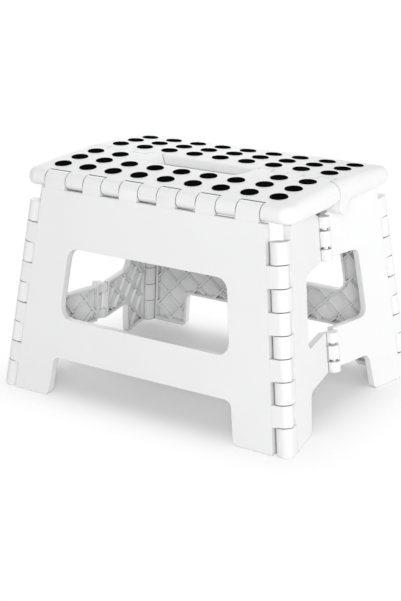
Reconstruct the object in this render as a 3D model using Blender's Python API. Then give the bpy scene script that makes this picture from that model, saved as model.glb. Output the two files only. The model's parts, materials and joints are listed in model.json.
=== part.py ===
"""Folding step stool: eight moulded panels on steel hinge pins.

Pull the middle of the top upwards and the two halves of the top close like a
book, the front and rear panels swing together, and the end panels fold inwards
at their middle.  Metres, +Z up, origin on the floor under the middle of the top.
"""

from math import asin, atan, atan2, cos, degrees, pi, radians, sin, sqrt, tan

import bmesh
import bpy
from mathutils import Matrix, Vector

MM = 0.001

# Top
STOOL_HEIGHT = 220 * MM
TOP_LENGTH = 289 * MM
CROWN_RADIUS = 900 * MM
TOP_PLATE = 3.0 * MM
TOP_WALL = 3.0 * MM
TOP_EDGE_RADIUS = 10.0 * MM
TOP_LOWER_RADIUS = 5.0 * MM
TOP_CORNER_RADIUS = 14 * MM
TOP_RIB_PITCH = 40 * MM

# Grip dots
DOT_RADIUS = 8.0 * MM
DOT_RISE = 0.5 * MM
DOT_PITCH = 29.5 * MM
DOT_ROW_PITCH = 25.7 * MM
DOT_FIRST_ROW = 20.6 * MM
DOT_COLUMNS = 9
DOT_ROWS = 3
DOT_SIDES = 10

# Carry handle in the middle of the top
HANDLE_LENGTH = 108 * MM
SCOOP_DEPTH = 34 * MM
FINGER_GAP = 10 * MM
SCOOP_DROP = 10 * MM
SCOOP_RADIUS = 14 * MM
SCOOP_SLOPE = 4 * MM
HANDLE_LIP = 9 * MM
HANDLE_ROOM = 22 * MM

# Fingers of the two halves along the middle of the top
FINGER_PITCH = 16 * MM
FINGER_REACH = 4.0 * MM
END_FINGER = 7.0 * MM
END_TAB_RADIUS = 8.6 * MM
END_TAB_FILLET = 8.0 * MM
CENTRE_KNUCKLE_RADIUS = 7.0 * MM
CENTRE_AXIS_DEPTH = 22.5 * MM
SKIRT_RISE = 6.0 * MM
SKIRT_RISE_START = 38 * MM

# Hinges
HINGE_RADIUS = 8.0 * MM
PIN_RADIUS = 2.5 * MM
PIN_CLEARANCE = 0.3 * MM
KNUCKLE_GAP = 0.6 * MM
SWING_CLEARANCE = 0.6 * MM
KNUCKLE_WEB = 5.0 * MM
WEB_OVERLAP = 2.5 * MM
FLUSH_STEP = 0.1 * MM
PIN_END_MARGIN = 4.0 * MM

# Top edge hinges: front and rear panels hang from the top here
EDGE_AXIS_DEPTH = 91.6 * MM
EDGE_KNUCKLE = 20.6 * MM
EDGE_END_KNUCKLE = 24.0 * MM
EDGE_PANEL_KNUCKLES = 6
EDGE_SHIFT = -1.8 * MM

# Front and rear panels
FOOT_AXIS_DEPTH = 115.4 * MM
FOOT_AXIS_LENGTH = 154.6 * MM
TOP_AXIS_LENGTH = 128.5 * MM
PANEL_DEPTH = 7.6 * MM
PANEL_PLATE = 2.6 * MM
PANEL_RIM = 2.6 * MM
RIB_WIDTH = 2.0 * MM
RIB_PITCH = 40 * MM
UPPER_BAR = 61.28 * MM
LOWER_BAR = 39.1 * MM
WINDOW_TOP_LENGTH = 174 * MM
WINDOW_BOTTOM_LENGTH = 190 * MM
WINDOW_RADIUS = 11 * MM
ARCH_TOP = 38.4 * MM
ARCH_TOP_LENGTH = 199 * MM
ARCH_FOOT_LENGTH = 210 * MM
ARCH_RADIUS = 7 * MM

# Corner hinges: the first knuckle above the floor, the last one below the end's top
CORNER_FIRST = 25 * MM
CORNER_LAST_GAP = 12 * MM
CORNER_KNUCKLE_COUNT = 8

# End panels
CREASE_FOOT_LENGTH = 145 * MM
CREASE_OUTSET = 3.5 * MM
CREASE_RADIUS = 6.0 * MM
CREASE_TOP_GAP = 5.5 * MM
END_DEPTH = 6.4 * MM
END_TOP_GAP = 2.28 * MM
END_POST = 47.5 * MM
END_LEG_TOP = 52.5 * MM
END_LEG_FOOT = 49.5 * MM
END_UPPER_BAR = 53.5 * MM
END_LOWER_BAR = 39 * MM
END_ARCH_TOP = 37 * MM
END_WINDOW_RADIUS = 8 * MM
END_SLOPE_LENGTH = 24 * MM
MIDDLE_KNUCKLE_SHARE = 0.47
STUD_REACH = 2.0 * MM
STUD_ROOM = 0.4 * MM

# Worked out from the sizes above
CROWN_CENTRE = STOOL_HEIGHT - CROWN_RADIUS
EDGE_AXIS_HEIGHT = CROWN_CENTRE + sqrt((CROWN_RADIUS - HINGE_RADIUS) ** 2 - EDGE_AXIS_DEPTH ** 2)
CENTRE_AXIS_HEIGHT = STOOL_HEIGHT - CENTRE_AXIS_DEPTH
SKIRT_BOTTOM = EDGE_AXIS_HEIGHT - HINGE_RADIUS
CLEAR_RADIUS = HINGE_RADIUS + SWING_CLEARANCE
BORE_RADIUS = PIN_RADIUS + PIN_CLEARANCE
FAR = 2 * TOP_LENGTH

WINDOW_TOP = EDGE_AXIS_HEIGHT - UPPER_BAR
WINDOW_BOTTOM = ARCH_TOP + LOWER_BAR
END_TOP = SKIRT_BOTTOM - END_TOP_GAP
END_CREASE_TOP = CENTRE_AXIS_HEIGHT - CENTRE_KNUCKLE_RADIUS - CREASE_TOP_GAP
END_WINDOW_TOP = END_TOP - END_UPPER_BAR
END_WINDOW_BOTTOM = END_ARCH_TOP + END_LOWER_BAR
CORNER_LAST = END_TOP - CORNER_LAST_GAP
CORNER_KNUCKLE = (CORNER_LAST - CORNER_FIRST) / CORNER_KNUCKLE_COUNT

X = Vector((1, 0, 0))
Y = Vector((0, 1, 0))
Z = Vector((0, 0, 1))

LEAN = atan((FOOT_AXIS_DEPTH - EDGE_AXIS_DEPTH) / EDGE_AXIS_HEIGHT)
PANEL_UP = Vector((0, sin(LEAN), cos(LEAN)))
PANEL_IN = Vector((0, cos(LEAN), -sin(LEAN)))
EDGE_POINT = Vector((0, -EDGE_AXIS_DEPTH, EDGE_AXIS_HEIGHT))
PANEL_DROP = EDGE_AXIS_HEIGHT / cos(LEAN)

CORNER_FOOT = Vector((FOOT_AXIS_LENGTH, -FOOT_AXIS_DEPTH, 0))
CORNER_TOP = Vector((TOP_AXIS_LENGTH, -EDGE_AXIS_DEPTH, EDGE_AXIS_HEIGHT))
CORNER_UP = (CORNER_TOP - CORNER_FOOT).normalized()

# The corner axes and the crease of an end meet in one point far above the stool,
# so the end can fold without bending.
APEX = CORNER_FOOT + CORNER_UP * (FOOT_AXIS_DEPTH / CORNER_UP.y)
CREASE_FOOT = Vector((CREASE_FOOT_LENGTH, 0, 0))
CREASE_UP = (APEX - CREASE_FOOT).normalized()


def mesh_object(name, verts, faces):
    """New object from points and faces, with its faces pointing outwards."""
    mesh = bpy.data.meshes.new(name)
    mesh.from_pydata([tuple(v) for v in verts], [], faces)
    shape = bmesh.new()
    shape.from_mesh(mesh)
    bmesh.ops.recalc_face_normals(shape, faces=shape.faces)
    shape.to_mesh(mesh)
    shape.free()
    obj = bpy.data.objects.new(name, mesh)
    bpy.context.scene.collection.objects.link(obj)
    return obj


def loft(name, sections):
    """Closed solid through a row of sections with equally many points."""
    count = len(sections[0])
    verts = [point for section in sections for point in section]
    faces = [list(range(count)), [len(verts) - count + k for k in range(count)]]
    for row in range(len(sections) - 1):
        for k in range(count):
            a = row * count + k
            b = row * count + (k + 1) % count
            faces.append([a, b, b + count, a + count])
    return mesh_object(name, verts, faces)


def prism(name, outline, low, high, origin, a_dir, b_dir, t_dir):
    """Outline of (a, b) points in the plane a_dir, b_dir, extruded along t_dir."""
    flat = [origin + a_dir * a + b_dir * b for a, b in outline]
    return loft(name, [[p + t_dir * t for p in flat] for t in (low, high)])


def arc(a, b, radius, start, end, steps):
    """Points of an arc about (a, b), from one angle to the other in degrees."""
    angles = [radians(start + (end - start) * k / steps) for k in range(steps + 1)]
    return [(a + radius * cos(t), b + radius * sin(t)) for t in angles]


def rounded(corners, steps=3):
    """Closed outline through corners (a, b, radius), each turned into an arc."""
    outline = []
    for k, (a, b, radius) in enumerate(corners):
        corner = Vector((a, b))
        if radius == 0:
            outline.append((a, b))
            continue
        back = (Vector(corners[k - 1][:2]) - corner).normalized()
        ahead = (Vector(corners[(k + 1) % len(corners)][:2]) - corner).normalized()
        half = back.angle(ahead) / 2
        centre = corner + (back + ahead).normalized() * (radius / sin(half))
        first = corner + back * (radius / tan(half)) - centre
        sweep = (pi - 2 * half) * (1 if back.cross(ahead) < 0 else -1)
        begin = atan2(first.y, first.x)
        for s in range(steps + 1):
            angle = begin + sweep * s / steps
            outline.append((centre.x + radius * cos(angle), centre.y + radius * sin(angle)))
    return outline


def round_room(radius, sides=10):
    """Many-sided outline that a circle of this radius fits inside."""
    reach = radius / cos(pi / sides)
    return arc(0, 0, reach, 0, 360 - 360 / sides, sides - 1)


def rod(name, start, end, radius, sides=8):
    """Round bar between two points."""
    along = (end - start).normalized()
    across = along.cross(Y if abs(along.x) > 0.9 else X).normalized()
    circle = arc(0, 0, radius, 0, 360 - 360 / sides, sides - 1)
    return prism(name, circle, 0, (end - start).length, start, across, along.cross(across), along)


def gather(objects):
    """Several solids that don't touch, as one object."""
    shape = bmesh.new()
    for obj in objects:
        shape.from_mesh(obj.data)
        bpy.data.objects.remove(obj)
    mesh = bpy.data.meshes.new("gathered")
    shape.to_mesh(mesh)
    shape.free()
    joined = bpy.data.objects.new("gathered", mesh)
    bpy.context.scene.collection.objects.link(joined)
    return joined


def combine(obj, other, operation):
    """Boolean of obj with other, which is used up."""
    other.hide_render = True
    other.display_type = "WIRE"
    step = obj.modifiers.new(operation.lower(), "BOOLEAN")
    step.operation = operation
    step.solver = "EXACT"
    step.object = other
    graph = bpy.context.evaluated_depsgraph_get()
    mesh = bpy.data.meshes.new_from_object(obj.evaluated_get(graph))
    obj.modifiers.clear()
    obj.data = mesh
    bpy.data.objects.remove(other)


def cut(obj, *others):
    combine(obj, gather(others), "DIFFERENCE")


def join(obj, *others):
    combine(obj, gather(others), "UNION")


def lattice(name, outline, low, high, origin, a_dir, b_dir, t_dir, pitch):
    """Diamond pockets inside an outline, with ribs of RIB_WIDTH left between them."""
    pockets = prism(name, outline, low, high, origin, a_dir, b_dir, t_dir)
    a_low = min(a for a, b in outline)
    a_high = max(a for a, b in outline)
    b_low = min(b for a, b in outline)
    b_high = max(b for a, b in outline)
    step = pitch * sqrt(2)
    reach = (pitch - RIB_WIDTH) / sqrt(2)
    cells = []
    rows = int((b_high - b_low) / step) + 2
    columns = int((a_high - a_low) / step) + 2
    a_mid = (a_low + a_high) / 2
    for row in range(2 * rows + 1):
        b = b_low + (row - 1) * step / 2
        for column in range(-columns, columns + 1):
            a = a_mid + (column + 0.5 * (row % 2)) * step
            diamond = [(a - reach, b), (a, b - reach), (a + reach, b), (a, b + reach)]
            ends = (low - TOP_WALL, high + TOP_WALL)
            cells.append(prism("cell", diamond, *ends, origin, a_dir, b_dir, t_dir))
    combine(pockets, gather(cells), "INTERSECT")
    return pockets


def knuckle(name, origin, out, face, axis, low, high):
    """Hinge knuckle all but flush with a panel's face, joined to the panel by a web.

    out points away from the panel, face is the panel's outer side.
    """
    radius = HINGE_RADIUS
    outer = radius - FLUSH_STEP
    inner = radius - KNUCKLE_WEB
    reach = CLEAR_RADIUS + WEB_OVERLAP
    first = degrees(asin(outer / radius))
    last = -180 - degrees(asin(inner / radius))
    outline = [(-reach, outer)] + arc(0, 0, radius, first, last, 10) + [(-reach, inner)]
    return prism(name, outline, low, high, origin, out, face, axis)


def spans(first, length, count, parity):
    """Every second span of a row of equal knuckles, with a gap at both ends."""
    gap = KNUCKLE_GAP / 2
    rows = range(parity, count, 2)
    return [(first + k * length + gap, first + (k + 1) * length - gap) for k in rows]


def edge_bounds():
    """Boundaries along X of the knuckles of a top edge hinge."""
    inner = (2 * EDGE_PANEL_KNUCKLES - 3) * EDGE_KNUCKLE / 2
    bounds = [-inner - EDGE_END_KNUCKLE]
    bounds += [-inner + k * EDGE_KNUCKLE for k in range(2 * EDGE_PANEL_KNUCKLES - 2)]
    bounds.append(inner + EDGE_END_KNUCKLE)
    return [EDGE_SHIFT + x for x in bounds]


def edge_pin_ends(margin):
    """Both ends of a top edge pin, past the outermost knuckles by a margin."""
    bounds = edge_bounds()
    return EDGE_POINT + X * (bounds[0] - margin), EDGE_POINT + X * (bounds[-1] + margin)


def crown(y):
    """Height of the top's upper face."""
    return CROWN_CENTRE + sqrt(CROWN_RADIUS ** 2 - y ** 2)


def finish(obj, name, frame, *materials):
    """Name the object, add its materials and put its origin on its hinge axis."""
    obj.name = name
    obj.data.name = name
    obj.data.transform(frame.inverted())
    obj.matrix_world = frame
    for material in materials:
        obj.data.materials.append(material)
    obj.data.shade_smooth()
    obj.data.set_sharp_from_angle(angle=radians(40))
    return obj


def turned_copy(obj, name):
    """The same moulding used again on the opposite side of the stool."""
    twin = bpy.data.objects.new(name, obj.data)
    bpy.context.scene.collection.objects.link(twin)
    twin.matrix_world = HALF_TURN @ obj.matrix_world
    return twin


def make_material(name, colour, roughness, metallic):
    material = bpy.data.materials.new(name)
    material.use_nodes = True
    shader = material.node_tree.nodes["Principled BSDF"]
    shader.inputs["Base Color"].default_value = (*colour, 1)
    shader.inputs["Roughness"].default_value = roughness
    shader.inputs["Metallic"].default_value = metallic
    return material


def axes_frame(origin, x_dir, z_dir):
    """Placement with the given origin, X direction and Z direction."""
    y_dir = z_dir.cross(x_dir)
    turn = Matrix((x_dir, y_dir, z_dir)).transposed().to_4x4()
    return Matrix.Translation(origin) @ turn


HALF_TURN = Matrix.Rotation(pi, 4, "Z")


def top_section(y, top, bottom, half_length):
    """One section of the top across its length, with rounded ends."""
    upper = min(TOP_EDGE_RADIUS, (top - bottom) / 2)
    lower = min(TOP_LOWER_RADIUS, (top - bottom) / 3)
    right = arc(half_length - upper, top - upper, upper, 90, 0, 4)
    right += arc(half_length - lower, bottom + lower, lower, 0, -90, 2)
    left = [(-x, z) for x, z in reversed(right)]
    return [Vector((x, y, z)) for x, z in right + left]


def top_body(name, half_length, plate_drop, front, back, bottom):
    """Crowned slab of the top, as a plain block between two depths."""
    steps = 4
    depths = [back + (front - back) * k / steps for k in range(steps + 1)]
    return loft(name, [top_section(y, crown(y) - plate_drop, bottom, half_length) for y in depths])


def top_outer():
    """Outer form of the front half: crowned slab with a bullnose front edge."""
    reach = END_TAB_RADIUS - KNUCKLE_GAP / 2
    half = TOP_LENGTH / 2
    tangent = atan2(EDGE_AXIS_DEPTH, EDGE_AXIS_HEIGHT - CROWN_CENTRE)
    shoulder = -EDGE_AXIS_DEPTH - HINGE_RADIUS * sin(tangent)
    corner = -EDGE_AXIS_DEPTH - HINGE_RADIUS + TOP_CORNER_RADIUS
    steps = 3
    depths = [reach + (corner - reach) * k / steps for k in range(steps + 1)]
    depths += [(corner + shoulder) / 2, shoulder]
    sections = []
    for y in depths:
        drop = max(0, -EDGE_AXIS_DEPTH - y)
        bottom = EDGE_AXIS_HEIGHT - sqrt(HINGE_RADIUS ** 2 - drop ** 2)
        sections.append(top_section(y, crown(y), bottom, plan_half_length(y, half)))
    for turn in (60, 40, 22, 8):
        y = -EDGE_AXIS_DEPTH - HINGE_RADIUS * cos(radians(turn))
        rise = HINGE_RADIUS * sin(radians(turn))
        levels = (EDGE_AXIS_HEIGHT + rise, EDGE_AXIS_HEIGHT - rise)
        sections.append(top_section(y, *levels, plan_half_length(y, half)))
    return loft("top", sections)


def plan_half_length(y, half):
    """Half length of the top at a depth, with rounded corners in plan."""
    start = -EDGE_AXIS_DEPTH - HINGE_RADIUS + TOP_CORNER_RADIUS
    past = min(max(0, start - y), TOP_CORNER_RADIUS)
    return half - TOP_CORNER_RADIUS + sqrt(TOP_CORNER_RADIUS ** 2 - past ** 2)


def finger_ranges(parity):
    """Spans along +X where this half reaches over the middle, out to the end."""
    half = TOP_LENGTH / 2
    bounds = [HANDLE_LENGTH / 2]
    while bounds[-1] + FINGER_PITCH < half - END_FINGER:
        bounds.append(bounds[-1] + FINGER_PITCH)
    bounds.append(half)
    pairs = list(zip(bounds[:-1], bounds[1:]))
    return pairs[parity::2]


def mirrored(ranges):
    return ranges + [(-b, -a) for a, b in ranges]


def is_tab(low, high):
    """Whether a finger is the outermost one, which is a wide round tab."""
    return max(-low, high) >= TOP_LENGTH / 2


def box(name, x0, x1, y0, y1, z0, z1):
    outline = [(x0, y0), (x1, y0), (x1, y1), (x0, y1)]
    return prism(name, outline, z0, z1, Vector(), X, Y, Z)


def lug_outline():
    """Section of a centre-hinge lug, from the deck down to the axis."""
    radius = CENTRE_KNUCKLE_RADIUS
    top = STOOL_HEIGHT - TOP_PLATE - CENTRE_AXIS_HEIGHT
    reach = FINGER_REACH - KNUCKLE_GAP / 2
    start = degrees(atan2(sqrt(radius ** 2 - reach ** 2), reach))
    front = -radius - TOP_WALL
    return [(reach, top)] + arc(0, 0, radius, start, -180, 7) + [(front, top / 2), (front, top)]


def tab_outline():
    """Section of the outermost lug: a round tab that runs into its half's end skirt."""
    radius = END_TAB_RADIUS - KNUCKLE_GAP / 2 - FLUSH_STEP
    top = STOOL_HEIGHT - TOP_EDGE_RADIUS - CENTRE_AXIS_HEIGHT
    drop = SKIRT_BOTTOM + TOP_LOWER_RADIUS - CENTRE_AXIS_HEIGHT - END_TAB_FILLET
    away = sqrt((radius + END_TAB_FILLET) ** 2 - drop ** 2)
    turn = degrees(atan2(-drop, away))
    outline = [(radius, top)] + arc(0, 0, radius, 0, turn - 180, 7)
    outline += arc(-away, drop, END_TAB_FILLET, turn, 90, 4)[1:]
    return outline + [(-away, top)]


def top_half(parity, with_scoop, plastic, rubber):
    """Front half of the top; parity picks which fingers it has."""
    half = TOP_LENGTH / 2
    gap = KNUCKLE_GAP / 2
    others = mirrored(finger_ranges(1 - parity))
    top = top_outer()
    top.data.materials.append(plastic)
    top.data.materials.append(rubber)
    # Pockets under the plate leave a rim and a lattice of ribs.
    wall_front = -EDGE_AXIS_DEPTH + CLEAR_RADIUS + TOP_WALL
    wall_back = -CENTRE_KNUCKLE_RADIUS - 2 * TOP_WALL
    side = half - TOP_EDGE_RADIUS
    outline = [(-side, wall_front), (side, wall_front), (side, wall_back)]
    if with_scoop:
        scoop_side = HANDLE_LENGTH / 2 + TOP_WALL
        scoop_front = -SCOOP_DEPTH - TOP_WALL
        outline += [(scoop_side, wall_back), (scoop_side, scoop_front)]
        outline += [(-scoop_side, scoop_front), (-scoop_side, wall_back)]
    outline.append((-side, wall_back))
    low = SKIRT_BOTTOM - TOP_WALL
    pockets = lattice("pockets", outline, low, STOOL_HEIGHT, Vector(), X, Y, Z, TOP_RIB_PITCH)
    under = top_body("under", half - TOP_WALL, TOP_PLATE, wall_front - TOP_WALL, 0, low - TOP_WALL)
    combine(pockets, under, "INTERSECT")
    cut(top, pockets)
    # The middle edge is cut back between this half's fingers.
    edge = END_TAB_RADIUS + FINGER_PITCH
    backs = []
    for a, b in others:
        reach = END_TAB_RADIUS if is_tab(a, b) else FINGER_REACH
        backs.append(box("back", a - gap, b + gap, -reach - gap, edge, low, FAR))
    for a, b in mirrored(finger_ranges(parity)):
        if not is_tab(a, b):
            backs.append(box("back", a, b, FINGER_REACH - gap, edge, low, FAR))
    middle = box("back", -HANDLE_LENGTH / 2 - gap, HANDLE_LENGTH / 2 + gap, -gap, edge, low, FAR)
    for piece in backs + [middle]:
        cut(top, piece)
    # Lugs under the fingers carry the centre hinge.
    axis = Vector((0, 0, CENTRE_AXIS_HEIGHT))
    lugs = []
    for a, b in finger_ranges(parity):
        section = tab_outline() if is_tab(a, b) else lug_outline()
        high_x = b - FLUSH_STEP if is_tab(a, b) else b - gap
        for side_sign in (1, -1):
            ends = sorted((side_sign * (a + gap), side_sign * high_x))
            lugs.append(prism("lug", section, *ends, axis, Y, Z, X))
    join(top, *lugs)
    # Room for the other half's lugs, which turn about the same axis.
    rooms = []
    for a, b in others:
        radius = END_TAB_RADIUS - gap if is_tab(a, b) else CENTRE_KNUCKLE_RADIUS
        clear = round_room(radius + SWING_CLEARANCE)
        rooms.append(prism("room", clear, a - gap, b + gap, axis, Y, Z, X))
    cut(top, *rooms)
    if with_scoop:
        cut_scoop(top)
    else:
        cut_handle(top)
    cut_skirt_rise(top, others)
    # Front edge: room for the panel's knuckles, then the dots and the pin bores.
    bounds = edge_bounds()
    panel_spans = [(bounds[k], bounds[k + 1]) for k in range(0, len(bounds) - 1, 2)]
    rooms = []
    for a, b in panel_spans:
        rooms.append(front_room("room", a - gap, b + gap))
    cut(top, *rooms)
    join(top, *grip_dots(with_scoop))
    bores = [rod("bore", *edge_pin_ends(PIN_END_MARGIN + PIN_CLEARANCE), BORE_RADIUS)]
    for sign in (1, -1):
        start = axis + X * sign * (HANDLE_LENGTH / 2 - TOP_WALL)
        stop = axis + X * sign * (centre_pin_end() + PIN_CLEARANCE)
        bores.append(rod("bore", start, stop, BORE_RADIUS))
    cut(top, *bores)
    return top


def centre_pin_end():
    """How far out along X the centre pins reach, short of the last lug's face."""
    return TOP_LENGTH / 2 - PIN_END_MARGIN


def front_room(name, low, high):
    """Space in the top's front edge for one knuckle of the panel."""
    lift = sqrt(CLEAR_RADIUS ** 2 - HINGE_RADIUS ** 2)
    rise = sqrt(CLEAR_RADIUS ** 2 - lift ** 2)
    start = degrees(atan2(rise, lift))
    outline = arc(0, 0, CLEAR_RADIUS, start, -90, 7)
    far = 2 * CLEAR_RADIUS
    outline += [(-far, -CLEAR_RADIUS), (-far, far), (lift, far)]
    return prism(name, outline, low, high, EDGE_POINT, Y, Z, X)


def grip_dots(with_scoop):
    """Raised round grips on the top, left out where the handle scoop is."""
    circle = arc(0, 0, DOT_RADIUS, 0, 360 - 360 / DOT_SIDES, DOT_SIDES - 1)
    dots = []
    for row in range(DOT_ROWS):
        y = -DOT_FIRST_ROW - row * DOT_ROW_PITCH
        height = crown(y)
        normal = Vector((0, y, height - CROWN_CENTRE)).normalized()
        for column in range(DOT_COLUMNS):
            x = (column - (DOT_COLUMNS - 1) / 2) * DOT_PITCH
            if with_scoop and row == 0 and abs(x) < HANDLE_LENGTH / 2 + DOT_RADIUS:
                continue
            seat = Vector((x, y, height))
            dot = prism("dot", circle, -TOP_PLATE / 2, DOT_RISE, seat, X, normal.cross(X), normal)
            for face in dot.data.polygons:
                face.material_index = 1
            dots.append(dot)
    return dots


def cut_scoop(top):
    """Sloping finger scoop in the front half, with a gap to reach under the rear half."""
    half = HANDLE_LENGTH / 2
    lip = -FINGER_GAP
    high = STOOL_HEIGHT + TOP_PLATE
    low = SKIRT_BOTTOM - TOP_WALL
    run = SCOOP_DEPTH - FINGER_GAP
    ramp = []
    steps = 6
    for k in range(steps + 1):
        share = k / steps
        y = -SCOOP_DEPTH + run * share
        ramp.append((y, crown(y) - SCOOP_DROP * (1 - cos(pi * share)) / 2))
    ramp = [(-SCOOP_DEPTH, high)] + ramp + [(lip, low), (TOP_WALL, low), (TOP_WALL, high)]
    scoop = prism("scoop", ramp, -half - TOP_WALL, half + TOP_WALL, Vector(), Y, Z, X)
    walls = []
    for z, inset in ((high, 0), (STOOL_HEIGHT - HANDLE_LIP, SCOOP_SLOPE), (low - TOP_WALL, SCOOP_SLOPE)):
        corners = [(half - inset, TOP_WALL, 0), (-half + inset, TOP_WALL, 0)]
        corners += [(-half + inset, -SCOOP_DEPTH, SCOOP_RADIUS), (half - inset, -SCOOP_DEPTH, SCOOP_RADIUS)]
        walls.append([Vector((x, y, z)) for x, y in rounded(corners, 4)])
    combine(scoop, loft("walls", walls), "INTERSECT")
    cut(top, scoop)
    # The scoop's floor is a shell: it is hollow from below.
    inner = half - SCOOP_SLOPE - TOP_WALL
    under = []
    for k in range(steps + 1):
        share = k / steps
        y = -SCOOP_DEPTH + (run - TOP_WALL) * share
        under.append((y, crown(y) - TOP_PLATE - SCOOP_DROP * (1 - cos(pi * share)) / 2))
    under = [(y, z) for y, z in under if z > SKIRT_BOTTOM] + [(lip - TOP_WALL, low), (-SCOOP_DEPTH, low)]
    cut(top, prism("under", under, -inner, inner, Vector(), Y, Z, X))


def cut_handle(top):
    """Room under the rear half's middle edge, so that a hand can grip it."""
    half = HANDLE_LENGTH / 2
    high = STOOL_HEIGHT - HANDLE_LIP
    low = SKIRT_BOTTOM - TOP_WALL
    cut(top, box("grip", -half, half, -HANDLE_ROOM, TOP_WALL, low, high))


def cut_skirt_rise(top, others):
    """The end skirts rise towards the middle beside the other half's outer lug."""
    half = TOP_LENGTH / 2
    start = max(b for a, b in others)
    inner = max(a for a, b in others)
    if start < half:
        return
    low = SKIRT_BOTTOM - TOP_WALL
    back = TOP_WALL
    risen = SKIRT_BOTTOM + SKIRT_RISE
    outline = [(-SKIRT_RISE_START, low), (back, low), (back, risen)]
    outline += [(-END_TAB_RADIUS, risen), (-SKIRT_RISE_START, SKIRT_BOTTOM - TOP_WALL / 2)]
    gap = KNUCKLE_GAP / 2
    pieces = []
    for sign in (1, -1):
        ends = sorted((sign * (inner - gap), sign * (half + TOP_WALL)))
        pieces.append(prism("rise", outline, *ends, Vector(), Y, Z, X))
    cut(top, *pieces)


def floor_block():
    return box("floor", -FAR, FAR, -FAR, FAR, -FAR, 0)


def corner_spans(parity):
    """Spans along a corner axis, from the floor, of every second knuckle."""
    stretch = 1 / CORNER_UP.z
    first = CORNER_FIRST * stretch
    return spans(first, CORNER_KNUCKLE * stretch, CORNER_KNUCKLE_COUNT, parity)


def corner_pin_span():
    stretch = 1 / CORNER_UP.z
    return PIN_END_MARGIN * stretch, (CORNER_LAST - PIN_END_MARGIN) * stretch


def front_panel():
    """Front panel: trapezoid with a window, two feet and a lattice inside."""
    slope = (FOOT_AXIS_LENGTH - TOP_AXIS_LENGTH) / PANEL_DROP
    edge = CLEAR_RADIUS * sqrt(1 + slope ** 2)
    below = -PANEL_DROP - HINGE_RADIUS
    down = [h / cos(LEAN) - PANEL_DROP for h in (WINDOW_TOP, WINDOW_BOTTOM, ARCH_TOP)]
    window_top, window_bottom, arch_top = down
    flare = (ARCH_FOOT_LENGTH - ARCH_TOP_LENGTH) / 2 / (ARCH_TOP / cos(LEAN))
    arch_foot = ARCH_TOP_LENGTH / 2 + flare * (arch_top - below)

    def side(b):
        return TOP_AXIS_LENGTH - slope * b - edge

    def outlines(inset, top):
        turn = max(ARCH_RADIUS - inset, MM)
        right = [(side(top) - inset, top, 0), (side(below) - inset, below, 0)]
        right += [(arch_foot + inset, below, 0), (ARCH_TOP_LENGTH / 2 + inset, arch_top + inset, turn)]
        return rounded(right + [(-a, b, r) for a, b, r in reversed(right)])

    def window(grow):
        corners = [(WINDOW_TOP_LENGTH / 2 + grow, window_top + grow)]
        corners.append((WINDOW_BOTTOM_LENGTH / 2 + grow, window_bottom - grow))
        corners += [(-a, b) for a, b in reversed(corners)]
        return rounded([(a, b, WINDOW_RADIUS + grow) for a, b in corners])

    local = (EDGE_POINT, X, PANEL_UP, PANEL_IN)
    outer = -HINGE_RADIUS
    inner = outer + PANEL_DEPTH
    panel = prism("panel", outlines(0, -CLEAR_RADIUS), outer, inner, *local)
    cut(panel, prism("window", window(0), outer - HINGE_RADIUS, inner + HINGE_RADIUS, *local))
    rim_top = -CLEAR_RADIUS - PANEL_RIM
    pocket_outline = outlines(PANEL_RIM, rim_top)
    foot_rim = PANEL_RIM - PANEL_DROP + HINGE_RADIUS * tan(LEAN)
    pockets = lattice("pockets", pocket_outline, outer + PANEL_PLATE, inner + PANEL_RIM, *local, RIB_PITCH)
    frame = prism("frame", window(PANEL_RIM), outer, inner + 2 * PANEL_RIM, *local)
    combine(pockets, frame, "DIFFERENCE")
    sole = [(-FAR, below - FAR), (FAR, below - FAR), (FAR, foot_rim), (-FAR, foot_rim)]
    combine(pockets, prism("sole", sole, outer, inner + 2 * PANEL_RIM, *local), "DIFFERENCE")
    cut(panel, pockets)
    gap = KNUCKLE_GAP / 2
    bounds = edge_bounds()
    knuckles = []
    for k in range(0, len(bounds) - 1, 2):
        low, high = bounds[k] + gap, bounds[k + 1] - gap
        knuckles.append(knuckle("knuckle", EDGE_POINT, PANEL_UP, -PANEL_IN, X, low, high))
    bores = [rod("bore", EDGE_POINT - X * FAR, EDGE_POINT + X * FAR, BORE_RADIUS)]
    start, stop = corner_pin_span()
    for sign in (1, -1):
        foot = Vector((sign * CORNER_FOOT.x, CORNER_FOOT.y, 0))
        along = Vector((sign * CORNER_UP.x, CORNER_UP.y, CORNER_UP.z))
        out = along.cross(PANEL_IN) * -sign
        out = out if out.x * sign > 0 else -out
        for low, high in corner_spans(0):
            knuckles.append(knuckle("knuckle", foot, out, -PANEL_IN, along, low, high))
        ends = [foot + along * (start - PIN_CLEARANCE), foot + along * (stop + PIN_CLEARANCE)]
        bores.append(rod("bore", *ends, BORE_RADIUS))
    join(panel, *knuckles)
    cut(panel, *bores)
    cut(panel, floor_block())
    return panel


def end_frame():
    """Directions of the right end's front half: along, up the corner axis, outwards."""
    reach = (END_WINDOW_TOP + END_WINDOW_BOTTOM) / 2 / CREASE_UP.z
    middle = CREASE_FOOT + CREASE_UP * reach - CORNER_FOOT
    across = middle - CORNER_UP * middle.dot(CORNER_UP)
    lift = (HINGE_RADIUS + CREASE_OUTSET) / across.length
    side = across.normalized()
    other = side.cross(CORNER_UP)
    other = other if other.x > 0 else -other
    along = side * sqrt(1 - lift ** 2) - other * lift
    outwards = other * sqrt(1 - lift ** 2) + side * lift
    return along, outwards


def crease_place(height):
    """Distance along the end half, and out from its corner axis, of the crease."""
    along, outwards = end_frame()
    point = CREASE_FOOT + CREASE_UP * (height / CREASE_UP.z) - CORNER_FOOT
    return point.dot(along), point.dot(CORNER_UP), point.dot(outwards)


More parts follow.
